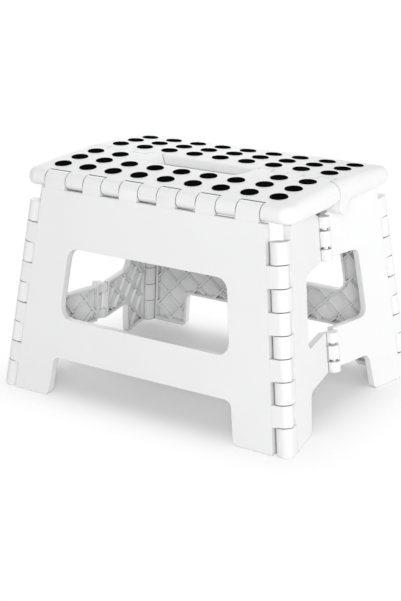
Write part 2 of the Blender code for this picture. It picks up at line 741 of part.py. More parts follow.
def crease_bars():
    """Heights of the three knuckles in the upper and in the lower bar of an end."""
    bars = []
    for low, high in ((END_ARCH_TOP, END_WINDOW_BOTTOM), (END_WINDOW_TOP, END_CREASE_TOP)):
        middle = (high - low) * MIDDLE_KNUCKLE_SHARE
        outer = (high - low - middle) / 2
        bars.append((low, low + outer, low + outer + middle, high))
    return bars


def crease_knuckle(low, high):
    """Knuckle on the crease axis, seen from the half that carries it."""
    along, outwards = end_frame()
    outset = max(crease_place(low)[2], crease_place(high)[2]) - HINGE_RADIUS + FLUSH_STEP
    out = (along - CREASE_UP * along.dot(CREASE_UP)).normalized()
    face = CREASE_UP.cross(out)
    face = face if face.dot(outwards) > 0 else -face
    radius = CREASE_RADIUS
    start = 180 + degrees(atan2(outset, sqrt(radius ** 2 - outset ** 2)))
    reach = radius + SWING_CLEARANCE + WEB_OVERLAP
    inner = -outset - KNUCKLE_WEB
    outline = [(-reach, -outset)] + arc(0, 0, radius, start, -90, 7) + [(-radius / 2, inner), (-reach, inner)]
    ends = (low / CREASE_UP.z, high / CREASE_UP.z)
    return prism("knuckle", outline, *ends, CREASE_FOOT, out, face, CREASE_UP), out, face


def end_half(with_pins):
    """Half of the right end, hung on the front panel's corner axis."""
    along, outwards = end_frame()
    stretch = 1 / CORNER_UP.z
    inner = HINGE_RADIUS - END_DEPTH
    clear = CREASE_RADIUS + SWING_CLEARANCE

    def at_crease(height):
        place = crease_place(height)
        return place[0] - clear, place[1]

    def level(a, height):
        """Place on the half's outer face at a distance from the corner and a height."""
        rise = height - a * along.z - HINGE_RADIUS * outwards.z
        return a, rise * stretch

    low = -HINGE_RADIUS

    def outline(inset):
        turn = max(END_WINDOW_RADIUS - inset, MM)
        grown = END_WINDOW_RADIUS + inset
        arch_a, arch_b = at_crease(END_ARCH_TOP)
        sill_a, sill_b = at_crease(END_WINDOW_BOTTOM)
        head_a, head_b = at_crease(END_WINDOW_TOP)
        peak_a, peak_b = at_crease(END_CREASE_TOP)
        corners = [(CLEAR_RADIUS + inset, low, 0), (END_LEG_FOOT - inset, low, 0)]
        corners += [(*level(END_LEG_TOP - inset, END_ARCH_TOP + inset), turn)]
        corners += [(arch_a - inset, arch_b + inset, 0), (sill_a - inset, sill_b - inset, 0)]
        corners += [(*level(END_POST - inset, END_WINDOW_BOTTOM - inset), grown)]
        corners += [(*level(END_POST - inset, END_WINDOW_TOP + inset), grown)]
        corners += [(head_a - inset, head_b + inset, 0), (peak_a - inset, peak_b - inset / 2, 0)]
        corners += [(*level(peak_a - END_SLOPE_LENGTH, END_TOP - inset), 0)]
        corners += [(*level(CLEAR_RADIUS + inset, END_TOP - inset), 0)]
        return rounded(corners)

    local = (CORNER_FOOT, along, CORNER_UP, outwards)
    half = prism("half", outline(0), inner, HINGE_RADIUS, *local)
    depths = (inner - PANEL_RIM, HINGE_RADIUS - PANEL_PLATE)
    pockets = lattice("pockets", outline(PANEL_RIM), *depths, *local, RIB_PITCH)
    sole = HINGE_RADIUS * tan(LEAN) + PANEL_RIM
    combine(pockets, box("sole", -FAR, FAR, -FAR, FAR, -FAR, sole), "DIFFERENCE")
    cut(half, pockets)
    gap = KNUCKLE_GAP / 2
    first = CORNER_FIRST * stretch
    knuckles = [knuckle("foot", CORNER_FOOT, -along, outwards, CORNER_UP, 2 * low, first - gap)]
    for a, b in corner_spans(1):
        knuckles.append(knuckle("knuckle", CORNER_FOOT, -along, outwards, CORNER_UP, a, b))
    bores = []
    start, stop = corner_pin_span()
    foot_bore = CORNER_FOOT + CORNER_UP * (start - PIN_CLEARANCE)
    bores.append(rod("bore", foot_bore, CORNER_FOOT + CORNER_UP * (stop + PIN_CLEARANCE), BORE_RADIUS))
    for bar in crease_bars():
        picks = ((0, 1), (2, 3)) if with_pins else ((1, 2),)
        for a, b in picks:
            piece, out, face = crease_knuckle(bar[a] + gap, bar[b] - gap)
            knuckles.append(piece)
        if with_pins:
            for stud in stud_ends(bar):
                bores.append(rod("bore", stud[0], stud[1], BORE_RADIUS))
        else:
            bores += stud_grooves(bar, out, face)
    join(half, *knuckles)
    cut(half, *bores)
    cut(half, floor_block())
    return half


def crease_point(height):
    return CREASE_FOOT + CREASE_UP * (height / CREASE_UP.z)


def stud_ends(bar):
    """The two studs of one bar, as (outer end, inner end) on the crease axis."""
    reach = KNUCKLE_GAP / 2 + STUD_REACH
    ends = []
    for outer, inner, sense in ((bar[0], bar[1], 1), (bar[3], bar[2], -1)):
        start = crease_point(outer + sense * PIN_END_MARGIN)
        ends.append((start, crease_point(inner + sense * reach)))
    return ends


def stud_grooves(bar, out, face):
    """Open grooves in the ends of the middle knuckle, which the studs sit in."""
    room = BORE_RADIUS
    far = 2 * CREASE_RADIUS
    groove = [(-room, -room), (far, -room), (far, far), (-room, far)]
    depth = KNUCKLE_GAP / 2 + STUD_REACH + STUD_ROOM
    grooves = []
    for low, high in ((bar[1] - KNUCKLE_GAP, bar[1] + depth), (bar[2] - depth, bar[2] + KNUCKLE_GAP)):
        ends = (low / CREASE_UP.z, high / CREASE_UP.z)
        grooves.append(prism("groove", groove, *ends, CREASE_FOOT, out, face, CREASE_UP))
    return grooves


def flipped(obj):
    """Mirror image of a right end half across the middle plane y = 0."""
    obj.data.transform(Matrix.Scale(-1, 4, Y))
    obj.data.flip_normals()
    return obj


def build():
    for old in list(bpy.data.objects):
        bpy.data.objects.remove(old)

    white = (0.86, 0.86, 0.87)
    black = (0.012, 0.012, 0.013)
    steel = (0.55, 0.56, 0.58)
    plastics = {}
    for part in ("top_front", "top_rear", "panel", "end_with_pins", "end_with_sockets"):
        plastics[part] = make_material(part + "_plastic", white, 0.35, 0.0)
    rubber = make_material("grip_rubber", black, 0.6, 0.0)
    pin_steel = make_material("pin_steel", steel, 0.3, 1.0)

    centre = axes_frame(Vector((0, 0, CENTRE_AXIS_HEIGHT)), X, Z)
    front = top_half(0, True, plastics["top_front"], rubber)
    finish(front, "top_front", centre)
    rear = top_half(1, False, plastics["top_rear"], rubber)
    rear.data.transform(HALF_TURN)
    finish(rear, "top_rear", centre)

    panel_frame = axes_frame(EDGE_POINT, X, PANEL_UP)
    panel = finish(front_panel(), "front_panel", panel_frame, plastics["panel"])
    turned_copy(panel, "rear_panel")

    side = (X - CORNER_UP * X.dot(CORNER_UP)).normalized()
    corner = axes_frame(CORNER_FOOT, side, CORNER_UP)
    pinned = finish(end_half(True), "right_end_front", corner, plastics["end_with_pins"])
    turned_copy(pinned, "left_end_rear")
    socket = flipped(end_half(False))
    rear_up = Vector((CORNER_UP.x, -CORNER_UP.y, CORNER_UP.z))
    rear_side = (X - rear_up * X.dot(rear_up)).normalized()
    rear_foot = Vector((CORNER_FOOT.x, -CORNER_FOOT.y, 0))
    rear_corner = axes_frame(rear_foot, rear_side, rear_up)
    socket = finish(socket, "right_end_rear", rear_corner, plastics["end_with_sockets"])
    turned_copy(socket, "left_end_front")

    pins(pin_steel, panel_frame, corner)


def pins(steel, panel_frame, corner):
    """Steel hinge pins, each lying in its knuckles."""
    edge_pin = rod("pin", *edge_pin_ends(PIN_END_MARGIN), PIN_RADIUS)
    edge_pin = finish(edge_pin, "front_edge_pin", panel_frame, steel)
    turned_copy(edge_pin, "rear_edge_pin")

    axis = Vector((0, 0, CENTRE_AXIS_HEIGHT))
    start = axis + X * HANDLE_LENGTH / 2
    centre_pin = rod("pin", start, axis + X * centre_pin_end(), PIN_RADIUS)
    centre_pin = finish(centre_pin, "centre_pin_right", axes_frame(axis, X, Z), steel)
    turned_copy(centre_pin, "centre_pin_left")

    low, high = corner_pin_span()
    corner_pin = rod("pin", CORNER_FOOT + CORNER_UP * low, CORNER_FOOT + CORNER_UP * high, PIN_RADIUS)
    corner_pin = finish(corner_pin, "corner_pin_front_right", corner, steel)
    turned_copy(corner_pin, "corner_pin_rear_left")
    left_foot = Vector((-CORNER_FOOT.x, CORNER_FOOT.y, 0))
    left_up = Vector((-CORNER_UP.x, CORNER_UP.y, CORNER_UP.z))
    left_pin = rod("pin", left_foot + left_up * low, left_foot + left_up * high, PIN_RADIUS)
    left_side = (X - left_up * X.dot(left_up)).normalized()
    left_pin = finish(left_pin, "corner_pin_front_left", axes_frame(left_foot, left_side, left_up), steel)
    turned_copy(left_pin, "corner_pin_rear_right")

    crease_side = (X - CREASE_UP * X.dot(CREASE_UP)).normalized()
    crease = axes_frame(CREASE_FOOT, crease_side, CREASE_UP)
    number = 0
    for bar in crease_bars():
        for outer, inner in stud_ends(bar):
            number += 1
            along = (inner - outer).normalized()
            stud = rod("stud", outer + along * PIN_CLEARANCE, inner - along * PIN_CLEARANCE, PIN_RADIUS)
            stud = finish(stud, f"crease_pin_right_{number}", crease, steel)
            turned_copy(stud, f"crease_pin_left_{number}")


build()
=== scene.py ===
import json
import math
import bmesh
import bpy
from mathutils import Matrix, Vector
from mathutils.bvhtree import BVHTree
from mathutils.geometry import area_tri, tessellate_polygon


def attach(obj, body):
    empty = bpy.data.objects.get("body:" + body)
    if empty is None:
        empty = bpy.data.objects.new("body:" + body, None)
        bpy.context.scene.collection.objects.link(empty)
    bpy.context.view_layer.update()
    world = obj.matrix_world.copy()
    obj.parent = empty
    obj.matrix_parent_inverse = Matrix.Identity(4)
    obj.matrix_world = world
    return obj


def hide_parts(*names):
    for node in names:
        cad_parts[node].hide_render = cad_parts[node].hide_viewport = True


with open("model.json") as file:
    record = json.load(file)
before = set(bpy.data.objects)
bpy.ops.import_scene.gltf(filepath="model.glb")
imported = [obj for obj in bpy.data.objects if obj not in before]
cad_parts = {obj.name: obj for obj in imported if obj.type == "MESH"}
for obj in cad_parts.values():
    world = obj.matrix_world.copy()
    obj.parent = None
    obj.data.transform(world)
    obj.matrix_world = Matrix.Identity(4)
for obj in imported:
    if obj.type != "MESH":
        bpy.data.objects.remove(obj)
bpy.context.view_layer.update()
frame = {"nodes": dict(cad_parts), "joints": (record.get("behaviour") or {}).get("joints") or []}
mm = 0.001
for name in ("Cube", "Light", "Camera"):
    if name in bpy.data.objects:
        bpy.data.objects.remove(bpy.data.objects[name])
print("frame loaded:", len(frame["nodes"]), "nodes")


# small helpers

def addNode(tree, kind, **settings):
    node = tree.nodes.new(kind)
    for key, value in settings.items():
        setattr(node, key, value)
    return node


def wire(tree, source, target):
    tree.links.new(source, target)


def addSockets(tree, way, kind, *names):
    for name in names:
        tree.interface.new_socket(name, in_out=way, socket_type="NodeSocket" + kind)


def addObject(name, data):
    holder = bpy.data.objects.new(name, data)
    bpy.context.scene.collection.objects.link(holder)
    return holder


def setInputs(modifier, tree, values):
    for item in tree.interface.items_tree:
        if item.item_type == "SOCKET" and item.in_out == "INPUT" and item.name in values:
            modifier[item.identifier] = values[item.name]


def applyModifiers(piece):
    # what the modifiers make becomes the piece's own plain mesh
    graph = bpy.context.evaluated_depsgraph_get()
    mesh = bpy.data.meshes.new_from_object(piece.evaluated_get(graph))
    piece.modifiers.clear()
    old = piece.data
    piece.data = mesh
    bpy.data.meshes.remove(old)
    mesh.name = piece.name


def isPin(nodeName):
    return "pin" in nodeName.split("_")


def isTop(nodeName):
    return nodeName.startswith("top")


# shader groups that the moulded finishes share

skinDetail = {"cloudDetail": 4, "cloudRough": 0.6, "grainDetail": 2, "shadeSamples": 16, "edgeSamples": 6}


def makeMouldSkin():
    # faint cloudiness of moulded plastic, its fine satin grain and its roughness
    group = bpy.data.node_groups.new("mouldSkin", "ShaderNodeTree")
    addSockets(group, "INPUT", "Float", "Grain Scale", "Cloud Scale", "Smooth", "Rough")
    addSockets(group, "INPUT", "Color", "Deep", "Pale")
    addSockets(group, "OUTPUT", "Color", "Color")
    addSockets(group, "OUTPUT", "Float", "Roughness", "Height")
    given = addNode(group, "NodeGroupInput")
    made = addNode(group, "NodeGroupOutput")
    place = addNode(group, "ShaderNodeTexCoord")
    cloud = addNode(group, "ShaderNodeTexNoise")
    cloud.inputs["Detail"].default_value = skinDetail["cloudDetail"]
    cloud.inputs["Roughness"].default_value = skinDetail["cloudRough"]
    grain = addNode(group, "ShaderNodeTexNoise")
    grain.inputs["Detail"].default_value = skinDetail["grainDetail"]
    wire(group, place.outputs["Object"], cloud.inputs["Vector"])
    wire(group, place.outputs["Object"], grain.inputs["Vector"])
    wire(group, given.outputs["Cloud Scale"], cloud.inputs["Scale"])
    wire(group, given.outputs["Grain Scale"], grain.inputs["Scale"])
    tint = addNode(group, "ShaderNodeMix", data_type="RGBA")
    wire(group, cloud.outputs["Fac"], tint.inputs["Factor"])
    wire(group, given.outputs["Deep"], tint.inputs["A"])
    wire(group, given.outputs["Pale"], tint.inputs["B"])
    gloss = addNode(group, "ShaderNodeMapRange")
    wire(group, grain.outputs["Fac"], gloss.inputs["Value"])
    wire(group, given.outputs["Smooth"], gloss.inputs["To Min"])
    wire(group, given.outputs["Rough"], gloss.inputs["To Max"])
    wire(group, tint.outputs["Result"], made.inputs["Color"])
    wire(group, gloss.outputs["Result"], made.inputs["Roughness"])
    wire(group, grain.outputs["Fac"], made.inputs["Height"])
    return group


def makePaintedSeamShade():
    # painted shade: narrow seams and inner corners, where ambient occlusion finds them closed in, are
    # darkened towards the seam colour in the base colour
    group = bpy.data.node_groups.new("paintedSeamShade", "ShaderNodeTree")
    addSockets(group, "INPUT", "Float", "Reach", "Closed", "Open")
    addSockets(group, "INPUT", "Color", "Seam", "Color")
    addSockets(group, "OUTPUT", "Color", "Color")
    given = addNode(group, "NodeGroupInput")
    made = addNode(group, "NodeGroupOutput")
    occlusion = addNode(group, "ShaderNodeAmbientOcclusion", samples=skinDetail["shadeSamples"])
    wire(group, given.outputs["Reach"], occlusion.inputs["Distance"])
    openness = addNode(group, "ShaderNodeMapRange")
    wire(group, occlusion.outputs["AO"], openness.inputs["Value"])
    wire(group, given.outputs["Closed"], openness.inputs["From Min"])
    wire(group, given.outputs["Open"], openness.inputs["From Max"])
    shadeMix = addNode(group, "ShaderNodeMix", data_type="RGBA")
    wire(group, openness.outputs["Result"], shadeMix.inputs["Factor"])
    wire(group, given.outputs["Seam"], shadeMix.inputs["A"])
    wire(group, given.outputs["Color"], shadeMix.inputs["B"])
    wire(group, shadeMix.outputs["Result"], made.inputs["Color"])
    return group


mouldSkin = makeMouldSkin()
paintedSeamShade = makePaintedSeamShade()


# finishes

whiteLook = {
    "Grain Scale": 1400.0, "Cloud Scale": 11.0, "Smooth": 0.40, "Rough": 0.52,
    "Deep": (0.83, 0.83, 0.835, 1), "Pale": (0.875, 0.875, 0.88, 1),
    # the seam colour, Reach, Closed and Open set the painted shade in seams and inner corners
    "Seam": (0.22, 0.22, 0.225, 1), "Reach": 1.6 * mm, "Closed": 0.2, "Open": 0.75,
    "edge": 0.9 * mm, "bump": 0.10, "grainDepth": 0.2 * mm, "ior": 1.49, "shine": 0.3,
}
# the top is a little paler and duller than the panels
deckLook = dict(
    whiteLook, Smooth=0.45, Rough=0.6, shine=0.15,
    Deep=(0.845, 0.845, 0.85, 1), Pale=(0.885, 0.885, 0.89, 1),
)
rubberLook = {
    "Grain Scale": 2600.0, "Cloud Scale": 60.0, "Smooth": 0.55, "Rough": 0.75,
    "Deep": (0.002, 0.002, 0.002, 1), "Pale": (0.005, 0.005, 0.005, 1),
    # the seam colour, Reach, Closed and Open set the painted shade in the rubber's seams and inner corners
    "Seam": (0.001, 0.001, 0.001, 1), "Reach": 1.0 * mm, "Closed": 0.2, "Open": 0.75,
    "edge": 0.3 * mm, "bump": 0.35, "grainDepth": 0.2 * mm, "ior": 1.5, "shine": 0.0,
}
steelLook = {"color": (0.72, 0.73, 0.75, 1), "streakScale": 700, "smooth": 0.22, "rough": 0.4}


def newFinish(name):
    finish = bpy.data.materials.new(name)
    finish.use_nodes = True
    tree = finish.node_tree
    return finish, tree, tree.nodes["Principled BSDF"]


def moulded(name, look):
    # a moulded finish: groups for colour, gloss and grain, and for painted shade in seams and inner corners,
    # with edges rounded in shading
    finish, tree, shader = newFinish(name)
    skin = addNode(tree, "ShaderNodeGroup", node_tree=mouldSkin)
    paintedShade = addNode(tree, "ShaderNodeGroup", node_tree=paintedSeamShade)
    for group in (skin, paintedShade):
        for socket in group.inputs:
            if socket.name in look:
                socket.default_value = look[socket.name]
    soft = addNode(tree, "ShaderNodeBevel", samples=skinDetail["edgeSamples"])
    soft.inputs["Radius"].default_value = look["edge"]
    bump = addNode(tree, "ShaderNodeBump")
    bump.inputs["Strength"].default_value = look["bump"]
    bump.inputs["Distance"].default_value = look["grainDepth"]
    wire(tree, soft.outputs["Normal"], bump.inputs["Normal"])
    wire(tree, skin.outputs["Height"], bump.inputs["Height"])
    wire(tree, skin.outputs["Color"], paintedShade.inputs["Color"])
    wire(tree, paintedShade.outputs["Color"], shader.inputs["Base Color"])
    wire(tree, skin.outputs["Roughness"], shader.inputs["Roughness"])
    wire(tree, bump.outputs["Normal"], shader.inputs["Normal"])
    shader.inputs["IOR"].default_value = look["ior"]
    shader.inputs["Specular IOR Level"].default_value = look["shine"]
    return finish


def drawnSteel(look):
    finish, tree, shader = newFinish("drawnSteel")
    place = addNode(tree, "ShaderNodeTexCoord")
    streak = addNode(tree, "ShaderNodeTexNoise")
    streak.inputs["Scale"].default_value = look["streakScale"]
    ramp = addNode(tree, "ShaderNodeMapRange")
    ramp.inputs["To Min"].default_value = look["smooth"]
    ramp.inputs["To Max"].default_value = look["rough"]
    wire(tree, place.outputs["Object"], streak.inputs["Vector"])
    wire(tree, streak.outputs["Fac"], ramp.inputs["Value"])
    wire(tree, ramp.outputs["Result"], shader.inputs["Roughness"])
    shader.inputs["Base Color"].default_value = look["color"]
    shader.inputs["Metallic"].default_value = 1.0
    return finish


whitePlastic = moulded("whitePlastic", whiteLook)
deckPlastic = moulded("deckPlastic", deckLook)
gripRubber = moulded("gripRubber", rubberLook)
pinSteel = drawnSteel(steelLook)


def finishOf(nodeName):
    if isPin(nodeName):
        return pinSteel
    return deckPlastic if isTop(nodeName) else whitePlastic


for name, node in frame["nodes"].items():
    node.data.materials.clear()
    node.data.materials.append(finishOf(name))
print("finishes on all nodes")


# moulded shells: the plastic nodes once more, with their outer edges really rounded

shells = {
    "merge": 0.005 * mm, "flat": math.radians(0.6), "sharp": math.radians(41), "evenWeight": 80,
    # outer edges, rounded where the edges that meet them are long enough
    "edge": 0.4 * mm, "edgeSteps": 2, "outFace": 0.25, "shortest": 0.9 * mm, "tries": 6, "clearOf": 1.0 * mm,
    # what counts as a stray spot
    "smallFace": 0.02 * mm * mm, "sameWay": 0.2, "onSurface": 0.05 * mm, "overlap": 1.002,
    # corners of the feet beside the arch
    "foot": 4.5 * mm, "footSteps": 6, "footLevel": 0.2 * mm, "footThick": 4 * mm,
    "upright": 0.7, "facing": 0.9, "footSpread": 1 * mm,
    # edge of the handle over the scoop
    "scoop": 2.2 * mm, "scoopSteps": 4, "scoopReach": 55 * mm, "scoopLevel": 217 * mm, "scoopDepth": 1 * mm,
}
outSides = {"top": (0, 0, 1), "front": (0, -1, 0), "rear": (0, 1, 0), "right": (1, 0, 0), "left": (-1, 0, 0)}


def roundEdges(work, edges, width, steps):
    bmesh.ops.bevel(
        work, geom=edges, offset=width, offset_type="OFFSET", segments=steps, profile=0.5,
        affect="EDGES", clamp_overlap=False,
    )


def footCorners(work):
    # edges through the thickness of a panel, where a foot meets the arch
    found = []
    for edge in work.edges:
        low, high = (vertex.co for vertex in edge.verts)
        if max(low.z, high.z) > shells["footLevel"] or not edge.is_convex:
            continue
        walls = [face.normal for face in edge.link_faces if abs(face.normal.z) < shells["upright"]]
        if len(walls) != 1 or edge.calc_length() < shells["footThick"]:
            continue
        # the wall beside the arch looks towards the middle of its own side
        centre = (low + high) / 2
        isSideways = abs(walls[0].x) > shells["upright"]
        inwards = Vector((-centre.x, 0, 0)) if isSideways else Vector((0, -centre.y, 0))
        if walls[0].dot(inwards.normalized()) > shells["facing"]:
            found.append((inwards.length, edge))
    nearest = min(reach for reach, edge in found)
    return [edge for reach, edge in found if reach < nearest + shells["footSpread"]]


def isOnRim(spot):
    isMiddle = abs(spot.y) < shells["scoopDepth"] and abs(spot.x) < shells["scoopReach"]
    return isMiddle and spot.z > shells["scoopLevel"]


def scoopRim(work):
    found = []
    for edge in work.edges:
        isRim = all(isOnRim(vertex.co) for vertex in edge.verts)
        if isRim and edge.is_convex and edge.calc_face_angle(0) > shells["sharp"]:
            found.append(edge)
    return found


def strays(work, guard):
    # spots where a rounded edge left the solid's own surface or turned a face over
    found = []
    for vertex in work.verts:
        _, _, _, distance = guard.find_nearest(vertex.co)
        if distance > shells["edge"]:
            found.append(vertex.co.copy())
    for face in work.faces:
        spots = [vertex.co.copy() for vertex in face.verts]
        pieces = [[spots[k] for k in corner] for corner in tessellate_polygon([spots])]
        areas = [area_tri(*piece) for piece in pieces]
        if max(areas, default=0) < shells["smallFace"]:
            continue
        # the middle of the largest triangle is sure to lie on the face
        centre = sum(pieces[areas.index(max(areas))], Vector()) / 3
        _, normal, _, distance = guard.find_nearest(centre)
        if face.normal.dot(normal) < shells["sameWay"] and distance < shells["onSurface"]:
            found.append(centre)
        if len(spots) > 4 and sum(areas) > face.calc_area() * shells["overlap"]:
            found.extend(spots)
    return found


def isRoundable(edge, outDir):
    if not edge.is_convex or edge.calc_face_angle(0) < shells["sharp"]:
        return False
    if max(face.normal.dot(outDir) for face in edge.link_faces) < shells["outFace"]:
        return False
    meeting = [other for vertex in edge.verts for other in vertex.link_edges]
    return all(other.calc_length() > shells["shortest"] for other in meeting)


def isClear(edge, spots, room):
    # every spot lies at least this far from the edge
    low, high = (vertex.co for vertex in edge.verts)
    span = high - low
    for spot in spots:
        along = max(0, min(1, (spot - low).dot(span) / span.length_squared))
        if (low + span * along - spot).length < room:
            return False
    return True


def roundOuterEdges(base, outDir):
    # an edge that can't be rounded cleanly stays as the solid has it
    guard = BVHTree.FromBMesh(base)
    chosen = [edge.index for edge in base.edges if isRoundable(edge, outDir)]
    known = strays(base, guard)
    for attempt in range(shells["tries"]):
        work = base.copy()
        work.edges.ensure_lookup_table()
        roundEdges(work, [work.edges[index] for index in chosen], shells["edge"], shells["edgeSteps"])
        bad = []
        for spot in strays(work, guard):
            if all((spot - other).length > shells["shortest"] for other in known):
                bad.append(spot)
        if not bad:
            return work
        work.free()
        room = shells["clearOf"] * (attempt + 1)
        chosen = [index for index in chosen if isClear(base.edges[index], bad, room)]
    return base.copy()


def makeShell(nodeName):
    base = bmesh.new()
    base.from_mesh(frame["nodes"][nodeName].data)
    bmesh.ops.remove_doubles(base, verts=base.verts, dist=shells["merge"])
    bmesh.ops.dissolve_limit(base, angle_limit=shells["flat"], verts=base.verts, edges=base.edges)
    corners = [] if isTop(nodeName) else footCorners(base)
    rim = scoopRim(base) if nodeName == "top_rear" else []
    if corners:
        roundEdges(base, corners, shells["foot"], shells["footSteps"])
    if rim:
        roundEdges(base, rim, shells["scoop"], shells["scoopSteps"])
    base.normal_update()
    base.edges.index_update()
    base.edges.ensure_lookup_table()
    work = roundOuterEdges(base, Vector(outSides[nodeName.split("_")[0]]))
    base.free()
    mesh = bpy.data.meshes.new("shell." + nodeName)
    work.normal_update()
    work.to_mesh(mesh)
    work.free()
    if "custom_normal" in mesh.attributes:
        mesh.attributes.remove(mesh.attributes["custom_normal"])
    mesh.shade_smooth()
    mesh.set_sharp_from_angle(angle=shells["sharp"])
    mesh.materials.append(finishOf(nodeName))
    piece = addObject("shell." + nodeName, mesh)
    even = piece.modifiers.new("even", "WEIGHTED_NORMAL")
    even.keep_sharp = True
    even.weight = shells["evenWeight"]
    applyModifiers(piece)
    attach(piece, nodeName)
    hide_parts(nodeName)
    print(piece.name, len(corners), "foot corners", len(rim), "rim edges", len(piece.data.polygons), "faces")


for nodeName in frame["nodes"]:
    if not isPin(nodeName):
        makeShell(nodeName)


# node trees that lay out what repeats

def startTree(name, *lengths):
    # a tree that takes points, some lengths and a finish, and gives one mesh
    tree = bpy.data.node_groups.new(name, "GeometryNodeTree")
    addSockets(tree, "INPUT", "Geometry", "Geometry")
    addSockets(tree, "INPUT", "Float", *lengths)
    addSockets(tree, "INPUT", "Material", "Finish")
    addSockets(tree, "OUTPUT", "Geometry", "Geometry")
    return tree, addNode(tree, "NodeGroupInput")


def pointValue(tree, name):
    value = addNode(tree, "GeometryNodeInputNamedAttribute", data_type="FLOAT")
    value.inputs["Name"].default_value = name
    return value.outputs["Attribute"]


def spreadCopies(tree, given, copied, angleName, axis):
    # a copy on each point, turned about one axis by the point's own angle
    about = addNode(tree, "ShaderNodeCombineXYZ")
    wire(tree, pointValue(tree, angleName), about.inputs[axis])
    turn = addNode(tree, "FunctionNodeEulerToRotation")
    wire(tree, about.outputs["Vector"], turn.inputs["Euler"])
    spread = addNode(tree, "GeometryNodeInstanceOnPoints")
    wire(tree, given.outputs["Geometry"], spread.inputs["Points"])
    wire(tree, copied, spread.inputs["Instance"])
    wire(tree, turn.outputs["Rotation"], spread.inputs["Rotation"])
    real = addNode(tree, "GeometryNodeRealizeInstances")
    wire(tree, spread.outputs["Instances"], real.inputs["Geometry"])
    paint = addNode(tree, "GeometryNodeSetMaterial")
    wire(tree, real.outputs["Geometry"], paint.inputs["Geometry"])
    wire(tree, given.outputs["Finish"], paint.inputs["Material"])
    made = addNode(tree, "NodeGroupOutput")
    wire(tree, paint.outputs["Geometry"], made.inputs["Geometry"])
    return spread


def layOut(name, tree, spots, pointValues, values):
    # a piece with the tree's copies at these spots, as a plain mesh
    mesh = bpy.data.meshes.new(name)
    mesh.from_pydata(spots, [], [])
    for key, numbers in pointValues.items():
        mesh.attributes.new(key, "FLOAT", "POINT").data.foreach_set("value", numbers)
    piece = addObject(name, mesh)
    modifier = piece.modifiers.new("copies", "NODES")
    modifier.node_group = tree
    setInputs(modifier, tree, values)
    applyModifiers(piece)
    return piece


# round rubber grips on the top

grips = {
    "radius": 8.15 * mm, "rise": 1.0 * mm, "sink": 0.8 * mm, "sides": 28, "sharp": math.radians(50),
    "pitch": 29.5 * mm, "rowPitch": 25.7 * mm, "firstRow": 20.6 * mm, "columns": 9, "rows": 3,
    "crownRadius": 900 * mm, "height": 220 * mm, "scoopReach": 62 * mm, "merge": 0.01 * mm,
    # share of the rise in the straight wall, then share and narrowing of each step of the rounded rim
    "wall": 0.44, "rim": ((0.26, 0.975), (0.20, 0.955), (0.10, 0.90)),
}


def growFaces(tree, mesh, height, chosen=None):
    grow = addNode(tree, "GeometryNodeExtrudeMesh", mode="FACES")
    grow.inputs["Individual"].default_value = False
    wire(tree, mesh, grow.inputs["Mesh"])
    wire(tree, height, grow.inputs["Offset Scale"])
    if chosen is not None:
        wire(tree, chosen, grow.inputs["Selection"])
    return grow


def makeGripTree():
    tree, given = startTree("gripTree", "Radius", "Rise", "Sink")
    addSockets(tree, "INPUT", "Int", "Sides")
    disc = addNode(tree, "GeometryNodeMeshCircle", fill_type="NGON")
    wire(tree, given.outputs["Sides"], disc.inputs["Vertices"])
    wire(tree, given.outputs["Radius"], disc.inputs["Radius"])
    down = addNode(tree, "ShaderNodeCombineXYZ")
    flip = addNode(tree, "ShaderNodeMath", operation="MULTIPLY")
    flip.inputs[1].default_value = -1
    wire(tree, given.outputs["Sink"], flip.inputs[0])
    wire(tree, flip.outputs["Value"], down.inputs["Z"])
    lowered = addNode(tree, "GeometryNodeTransform")
    wire(tree, disc.outputs["Mesh"], lowered.inputs["Geometry"])
    wire(tree, down.outputs["Vector"], lowered.inputs["Translation"])
    under = addNode(tree, "GeometryNodeFlipFaces")
    wire(tree, lowered.outputs["Geometry"], under.inputs["Mesh"])
    wall = addNode(tree, "ShaderNodeMath", operation="MULTIPLY_ADD")
    wall.inputs[1].default_value = grips["wall"]
    wire(tree, given.outputs["Rise"], wall.inputs[0])
    wire(tree, given.outputs["Sink"], wall.inputs[2])
    grow = growFaces(tree, lowered.outputs["Geometry"], wall.outputs["Value"])
    solid = grow.outputs["Mesh"]
    for share, narrow in grips["rim"]:
        lift = addNode(tree, "ShaderNodeMath", operation="MULTIPLY")
        lift.inputs[1].default_value = share
        wire(tree, given.outputs["Rise"], lift.inputs[0])
        grow = growFaces(tree, solid, lift.outputs["Value"], grow.outputs["Top"])
        shrink = addNode(tree, "GeometryNodeScaleElements", domain="FACE")
        shrink.inputs["Scale"].default_value = narrow
        wire(tree, grow.outputs["Mesh"], shrink.inputs["Geometry"])
        wire(tree, grow.outputs["Top"], shrink.inputs["Selection"])
        solid = shrink.outputs["Geometry"]
    closed = addNode(tree, "GeometryNodeJoinGeometry")
    wire(tree, solid, closed.inputs["Geometry"])
    wire(tree, under.outputs["Mesh"], closed.inputs["Geometry"])
    merged = addNode(tree, "GeometryNodeMergeByDistance")
    merged.inputs["Distance"].default_value = grips["merge"]
    wire(tree, closed.outputs["Geometry"], merged.inputs["Geometry"])
    spreadCopies(tree, given, merged.outputs["Geometry"], "tilt", "X")
    return tree


gripTree = makeGripTree()


